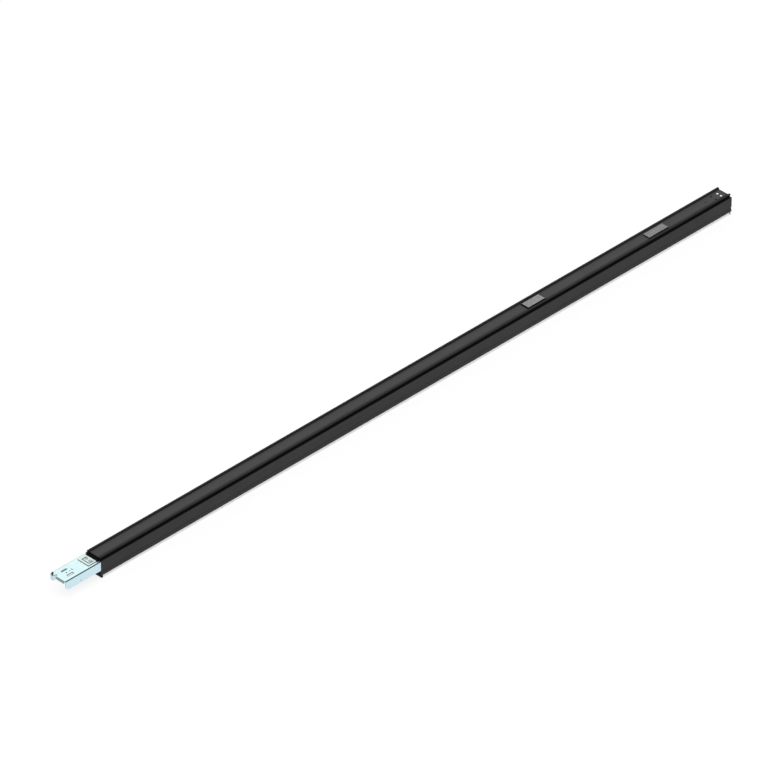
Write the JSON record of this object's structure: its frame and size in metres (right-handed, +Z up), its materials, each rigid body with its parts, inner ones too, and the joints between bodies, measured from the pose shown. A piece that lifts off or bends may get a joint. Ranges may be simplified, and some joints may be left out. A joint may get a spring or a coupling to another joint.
{
  "type": "lighting trunking rail",
  "caption": "Long black steel lighting trunking rail with clip grooves, a galvanised coupler at one end, feed covers on top and a white cover strip underneath.",
  "frame": {"origin": "under the middle of the whole part, on the plane that the cover strip stands on", "axes": "+X along the rail, away from the coupler; +Y across; +Z up, out of the recessed top"},
  "size_m": [2.633, 0.062, 0.0705],
  "materials": {
    "black_paint": "satin black powder coat on roll-formed steel",
    "galvanised": "bright galvanised steel sheet",
    "white_plastic": "satin moulded and extruded plastic",
    "black_plastic": "matt moulded plastic",
    "grey_plastic": "fine-grained moulded plastic"
  },
  "bodies": {
    "root": {"rail_profile": "black_paint", "coupler": "galvanised", "joint_plate": "white_plastic", "joint_seal": "black_plastic", "feed_plug": "black_plastic", "feed_plug_lid": "grey_plastic", "feed_cover": "black_plastic", "feed_cover_lid": "grey_plastic", "cover_strip": "white_plastic", "cover_end_cap_near": "black_plastic", "cover_end_cap_far": "black_plastic"}
  },
  "joints": []
}
